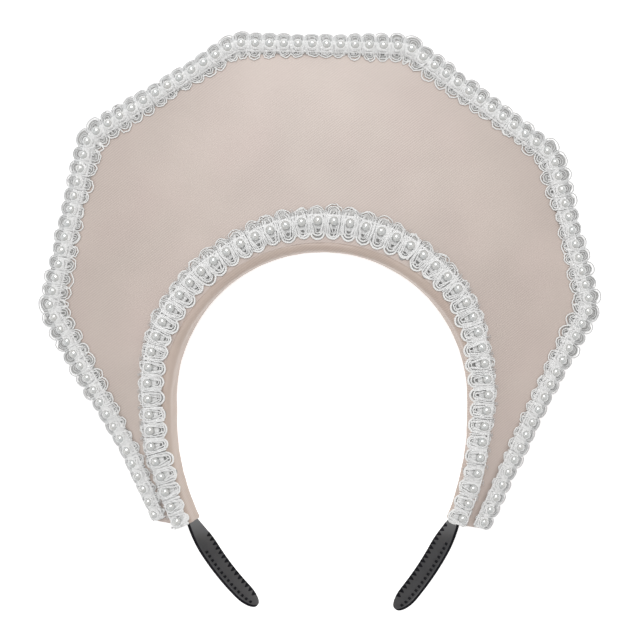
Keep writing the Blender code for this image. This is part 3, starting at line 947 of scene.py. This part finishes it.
class HEADPIECE_OT_lace(bpy.types.Operator):
    """Make the looped threads of both braids, three or four nested loops to a lobe"""

    bl_idname = "headpiece.lace"
    bl_label = "Looped lace"

    def execute(self, context):
        settings = context.scene.headpiece_braid
        thread = thread_material("white_thread", settings.thread_colour)
        # A greyer copy of the white thread: painted shade on the hanging loops
        hanging_shaded = thread_material("hanging_thread_shaded", settings.hanging_shade_colour)
        outer, inner = both_braids()
        fine = dict(steps=settings.loop_steps, sides=settings.thread_sides)
        make_pieces((
            ("outer_hanging_loops", "outer_lace", hanging_shaded, (
                (Braid.lobes, outer, dict(
                    side=1, root=-0.6, root_lift=2.2, rough=1.0, loops=HANGING_LOOPS, **fine)),
            )),
            ("outer_loops", "outer_lace", thread, (
                (Braid.lobes, outer, dict(
                    side=-1, root=2.5, root_lift=1.5, rough=2.2, loops=SATIN_LOOPS, **fine)),
            )),
            ("inner_loops", "inner_lace", thread, (
                (Braid.lobes, inner, dict(
                    side=1, root=1.2, root_lift=1.9, rough=2.7, loops=CROWN_LOOPS, **fine)),
                (Braid.lobes, inner, dict(
                    side=-1, root=1.6, root_lift=1.7, rough=1.0, loops=ARCH_LOOPS, **fine)),
            )),
        ))
        return {"FINISHED"}


def knots(braid, skin, ends, waist, fans, sides):
    """Add the bundle of threads that crosses the core between pearls and fans into the lobes.

    ends and fans are for the side towards the head, then for the side away from it.
    """
    shift = np.linspace(-1.0, 1.0, 11)
    fan = np.where(shift < 0, fans[0], fans[1])
    inward, outward = (
        np.minimum(end, 0.72 * braid.reach(side, braid.gaps))[:, None]
        for end, side in zip(ends, (-1, 1)))
    run = np.where(shift < 0, inward * shift, outward * shift)
    count = len(braid.gaps)
    narrow = np.ones((count, 1))
    narrow[[0, -1]] = 0.4
    for spread in np.linspace(-1.0, 1.0, 11):
        wide = narrow * (spread + braid.random.normal(0.0, 0.1, (count, 1)))
        beside = wide * (waist + (fan - waist) * np.abs(shift) ** 1.4)
        beside = beside + braid.random.normal(0.0, 0.1, (count, len(shift)))
        across = run * braid.random.normal(1.0, 0.08, (count, 1))
        height = 0.75 + braid.random.normal(1.9, 0.25, (count, 1)) * (1 - shift ** 2) ** 0.6
        braid.threads(skin, braid.gaps[:, None] + beside, across, height, 0.28, sides)


def collars(braid, skin, middle, half_turn, radius, lift, thread):
    """Add two threads round each pearl, from the middle direction to a turn on each side."""
    turn = np.radians(middle + half_turn * np.linspace(-1.0, 1.0, 13))
    count = len(braid.pearls)
    for wider in (0.0, 0.45):
        swell = radius + wider + braid.random.normal(0.0, 0.06, (count, len(turn)))
        beside = swell * np.sin(turn)
        across = swell * np.cos(turn)
        height = lift - wider + braid.random.normal(0.0, 0.1, (count, len(turn)))
        braid.threads(skin, braid.pearls[:, None] + beside, across, height, thread, 5)


def cord(braid, skin, across, lift, radius):
    """Add a fuzzy cord along the braid."""
    rows = np.linspace(0.3, braid.line.length - 0.3, int(braid.line.length / 0.8))
    sway = braid.random.normal(0.0, 0.1, (2, len(rows)))
    braid.threads(skin, rows, across + sway[0], lift + sway[1], radius, 6)


def ground(braid, skin, side, narrow, wide):
    """Add the scalloped net under the lobes on one side of the core, a sheet whose grey material is
    painted shade between the loops.
    """
    rows = np.linspace(0.3, braid.line.length - 0.3, int(braid.line.length / 0.6))
    phase = (rows - END_MARGIN) / braid.pitch
    scallop = 0.5 + 0.5 * np.cos(2 * np.pi * phase)
    reach = braid.reach(side, rows) * (narrow + (wide - narrow) * scallop)
    share = np.linspace(0.0, 1.0, 6)
    across = side * reach[:, None] * share
    height = 0.3 + 0.12 * np.cos(2 * np.pi * rows / 0.9)[:, None]
    skin.grids(braid.place(rows[:, None], across, height), rows)


def tape(braid, skin, half_width, middle, top):
    """Add the woven tape under the pearls, a low rounded strip."""
    rows = np.linspace(0.0, braid.line.length, int(braid.line.length / 0.7))
    turn = np.linspace(0, 2 * np.pi, 12, endpoint=False)
    ripple = 1 + 0.06 * np.sin(rows * 2 * np.pi / 1.4)[:, None]
    across = middle - half_width * np.cos(turn) * ripple
    height = 0.35 + (top - 0.35) * (0.5 + 0.5 * np.sin(turn)) * ripple
    skin.grids(braid.place(rows[:, None], across, height), rows, closed=True)


def plait(braid, skin, middle, half_width, lift, length, radius):
    """Add a flat plait of three strands along the braid."""
    rows = np.linspace(0.3, braid.line.length - 0.3, int(braid.line.length / 0.42))
    for strand in range(3):
        turn = 2 * np.pi * (rows / length + strand / 3)
        across, height = middle + half_width * np.sin(turn), lift + 0.24 * np.sin(2 * turn)
        braid.threads(skin, rows, across, height, radius, 6)


def fibres(braid, skin, count, middle):
    """Add loose fibres that stand out of the core in each gap."""
    shift = np.linspace(0.0, 1.0, 4)
    total = count * len(braid.gaps)
    gaps = np.repeat(braid.gaps, count)[:, None]
    angle = braid.random.uniform(-np.pi, np.pi, (total, 1))
    length = braid.random.uniform(1.6, 3.4, (total, 1))
    beside = 0.35 * length * np.cos(angle) * shift + braid.random.normal(0.0, 0.5, (total, 1))
    across = middle + length * np.sin(angle) * shift + braid.random.normal(0.0, 0.9, (total, 1))
    low, high = (0.9 * side * braid.reach(side, gaps[:, 0])[:, None] for side in (-1, 1))
    across = np.clip(across, low, high)
    height = 2.0 + braid.random.normal(0.0, 0.2, (total, 1)) + 0.9 * shift - 1.3 * shift ** 2
    along = np.clip(gaps + beside, 1.2, braid.line.length - 1.2)
    braid.threads(skin, along, across, height, 0.07 * (1.1 - shift), 3)


class HEADPIECE_OT_core(bpy.types.Operator):
    """Make the woven core of both braids: tape, edge plait, crossing threads and loose fibres"""

    bl_idname = "headpiece.core"
    bl_label = "Woven core"

    def execute(self, context):
        settings = context.scene.headpiece_braid
        cotton = thread_material("white_core", settings.core_colour, plies=3, pitch=1.1)
        # Grey copies of the thread for the nets: painted shade under the loops, darkest on the inner
        # braid's head side and palest on its crown side
        net, deep_net_shade, pale_net_shade = (
            thread_material(name, shaded(settings.net_shade_colour, shade))
            for name, shade in (("grey_net_shade", 1.0), ("deep_net_shade", 0.76), ("pale_net_shade", 1.45)))
        outer, inner = both_braids()
        loose = settings.fibres
        make_pieces((
            ("outer_crossings", "outer_lace", cotton, (
                (knots, outer, dict(ends=(3.9, 1.5), waist=0.95, fans=(2.7, 1.2), sides=5)),
            )),
            ("outer_core", "outer_lace", cotton, (
                (tape, outer, dict(half_width=2.1, middle=-0.9, top=1.4)),
                (plait, outer, dict(middle=-2.6, half_width=0.7, lift=1.45, length=3.4, radius=0.4)),
                (collars, outer, dict(middle=180, half_turn=110, radius=2.1, lift=3.1, thread=0.36)),
                (fibres, outer, dict(count=loose, middle=-1.6)),
            )),
            ("outer_shade_net", "outer_lace", net, (
                (ground, outer, dict(side=1, narrow=0.6, wide=0.86)),
                (ground, outer, dict(side=-1, narrow=0.62, wide=0.84)),
            )),
            ("inner_core", "inner_lace", cotton, (
                (tape, inner, dict(half_width=2.9, middle=-0.8, top=1.4)),
                (cord, inner, dict(across=2.7, lift=1.9, radius=0.42)),
                (cord, inner, dict(across=-3.1, lift=1.4, radius=0.28)),
                (knots, inner, dict(ends=(5.4, 4.4), waist=1.6, fans=(2.9, 2.9), sides=6)),
                (collars, inner, dict(middle=0, half_turn=115, radius=2.2, lift=3.0, thread=0.36)),
                (fibres, inner, dict(count=loose + 14, middle=0.0)),
                (fibres, inner, dict(count=loose + 10, middle=4.0)),
            )),
            ("inner_crown_shade_net", "inner_lace", pale_net_shade, (
                (ground, inner, dict(side=1, narrow=0.6, wide=0.82)),
            )),
            ("inner_shade_net", "inner_lace", deep_net_shade, (
                (ground, inner, dict(side=-1, narrow=0.66, wide=0.93)),
            )),
        ))
        return {"FINISHED"}


class HEADPIECE_OT_pearls(bpy.types.Operator):
    """Make both strings of pearls, each pearl with a thread hole along the string"""

    bl_idname = "headpiece.pearls"
    bl_label = "Pearls"

    def execute(self, context):
        settings = context.scene.headpiece_pearls
        shine = pearl_material(settings.colour)
        outer, inner = both_braids()
        self.string(outer, "outer_pearl_string", "outer_pearls", settings.radius, shine)
        self.string(inner, "inner_pearl_string", "inner_pearls", settings.radius, shine)
        return {"FINISHED"}

    def string(self, braid, name, solid, radius, shine):
        """Add every pearl of one braid as one piece."""
        polar = np.radians(np.linspace(HOLE_ANGLE, 180 - HOLE_ANGLE, PEARL_RINGS))
        hole = math.cos(polar[0]) - HOLE_DEPTH
        ahead = np.concatenate([[hole], np.cos(polar), [-hole]])[:, None]
        wide = np.concatenate([[HOLE_FLOOR], np.sin(polar), [HOLE_FLOOR]])[:, None]
        turn = np.linspace(0, 2 * np.pi, PEARL_SIDES, endpoint=False)
        pearl = np.stack(np.broadcast_arrays(ahead, wide * np.cos(turn), wide * np.sin(turn)), -1)
        centre = braid.place(braid.pearls, 0.0, PEARL_LIFT)
        forward = braid.place(braid.pearls + 1.0, 0.0, PEARL_LIFT) - centre
        forward /= np.linalg.norm(forward, axis=1, keepdims=True)
        upward = braid.up(braid.pearls, 0.0, PEARL_LIFT)
        axes = np.stack([forward, np.cross(upward, forward), upward], 1)
        points = centre[:, None, None] + radius * MM * (pearl @ axes[:, None])
        along = np.broadcast_to(np.arange(len(ahead), dtype=float), (len(centre), len(ahead)))
        skin = Skin()
        skin.grids(points, along, closed=True)
        skin.piece(name, shine, "pearl", solid)


class HEADPIECE_OT_stage(bpy.types.Operator):
    """Make the pale floor, the soft lights and the camera"""

    bl_idname = "headpiece.stage"
    bl_label = "Stage"

    def execute(self, context):
        settings = context.scene.headpiece_stage
        scene = context.scene
        skin = bpy.data.meshes.new("floor")
        corners = [(FLOOR_HALF * x, FLOOR_HALF * y, 0) for x, y in SQUARE]
        skin.from_pydata(corners, [], [(0, 1, 2, 3)])
        floor = bpy.data.objects.new("floor", skin)
        scene.collection.objects.link(floor)
        skin.materials.append(floor_material(tuple(settings.floor_colour), settings.floor_glow))

        scene.view_settings.view_transform = "Standard"
        world = bpy.data.worlds.new("studio")
        world.use_nodes = True
        backdrop = world.node_tree.nodes["Background"].inputs
        backdrop[0].default_value = (1.0, 1.0, 1.0, 1.0)
        backdrop[1].default_value = settings.sky
        scene.world = world
        self.softbox(scene, "key", (-0.04, 0.44, 0.84), 0.36, settings.key_power)
        self.softbox(scene, "left_fill", (-0.8, -0.3, 0.7), 0.6, settings.fill_power * 1.5)
        right = self.softbox(scene, "right_fill", (0.8, -0.1, 0.7), 0.6, settings.fill_power * 0.9)
        right.data.color = (1.0, 0.95, 0.9)
        shine = self.softbox(scene, "shine", (-0.02, 0.64, 0.78), 0.75, settings.shine_power)
        shine.visible_diffuse = False

        lens = bpy.data.cameras.new("photo_camera")
        lens.sensor_width = 36.0
        lens.lens = settings.lens
        lens.clip_start = 0.01
        camera = bpy.data.objects.new("photo_camera", lens)
        scene.collection.objects.link(camera)
        camera.location = lie_down(np.array((0.0, 0.0, settings.camera_distance / MM)))
        camera.rotation_euler = Euler((-REST_LEAN, 0.0, 0.0))
        scene.camera = camera
        return {"FINISHED"}

    def softbox(self, scene, name, place, size, power):
        """Add a square light that points at the headpiece."""
        light = bpy.data.lights.new(name, "AREA")
        light.shape = "SQUARE"
        light.size = size
        light.energy = power
        made = bpy.data.objects.new(name, light)
        scene.collection.objects.link(made)
        made.location = place
        made.rotation_euler = (-Vector(place)).to_track_quat("-Z", "Y").to_euler()
        return made


GROUPS = (
    ("headpiece_satin", SatinSettings),
    ("headpiece_braid", BraidSettings),
    ("headpiece_pearls", PearlSettings),
    ("headpiece_band", BandSettings),
    ("headpiece_stage", StageSettings),
)
OPERATORS = (
    HEADPIECE_OT_panel,
    HEADPIECE_OT_sleeve,
    HEADPIECE_OT_hair_band,
    HEADPIECE_OT_lace,
    HEADPIECE_OT_core,
    HEADPIECE_OT_pearls,
    HEADPIECE_OT_stage,
)


class HEADPIECE_PT_sidebar(bpy.types.Panel):
    """Settings and steps of the headpiece, in the 3D view's sidebar."""

    bl_idname = "HEADPIECE_PT_sidebar"
    bl_label = "Crown Headpiece"
    bl_space_type = "VIEW_3D"
    bl_region_type = "UI"
    bl_category = "Headpiece"

    def draw(self, context):
        for name, group in GROUPS:
            box = self.layout.box()
            settings = getattr(context.scene, name)
            for key in group.__annotations__:
                box.prop(settings, key)
        for operator in OPERATORS:
            self.layout.operator(operator.bl_idname)


def register():
    """Register the settings, the operators and the panel."""
    for name, group in GROUPS:
        bpy.utils.register_class(group)
        setattr(bpy.types.Scene, name, PointerProperty(type=group))
    for operator in OPERATORS:
        bpy.utils.register_class(operator)
    bpy.utils.register_class(HEADPIECE_PT_sidebar)


def unregister():
    """Take the panel, the operators and the settings away again."""
    bpy.utils.unregister_class(HEADPIECE_PT_sidebar)
    for operator in reversed(OPERATORS):
        bpy.utils.unregister_class(operator)
    for name, group in reversed(GROUPS):
        delattr(bpy.types.Scene, name)
        bpy.utils.unregister_class(group)


def main():
    """Make every piece in order."""
    register()
    bpy.ops.headpiece.panel()
    bpy.ops.headpiece.sleeve()
    bpy.ops.headpiece.hair_band()
    bpy.ops.headpiece.lace()
    bpy.ops.headpiece.core()
    bpy.ops.headpiece.pearls()
    bpy.ops.headpiece.stage()


if __name__ == "__main__":
    main()
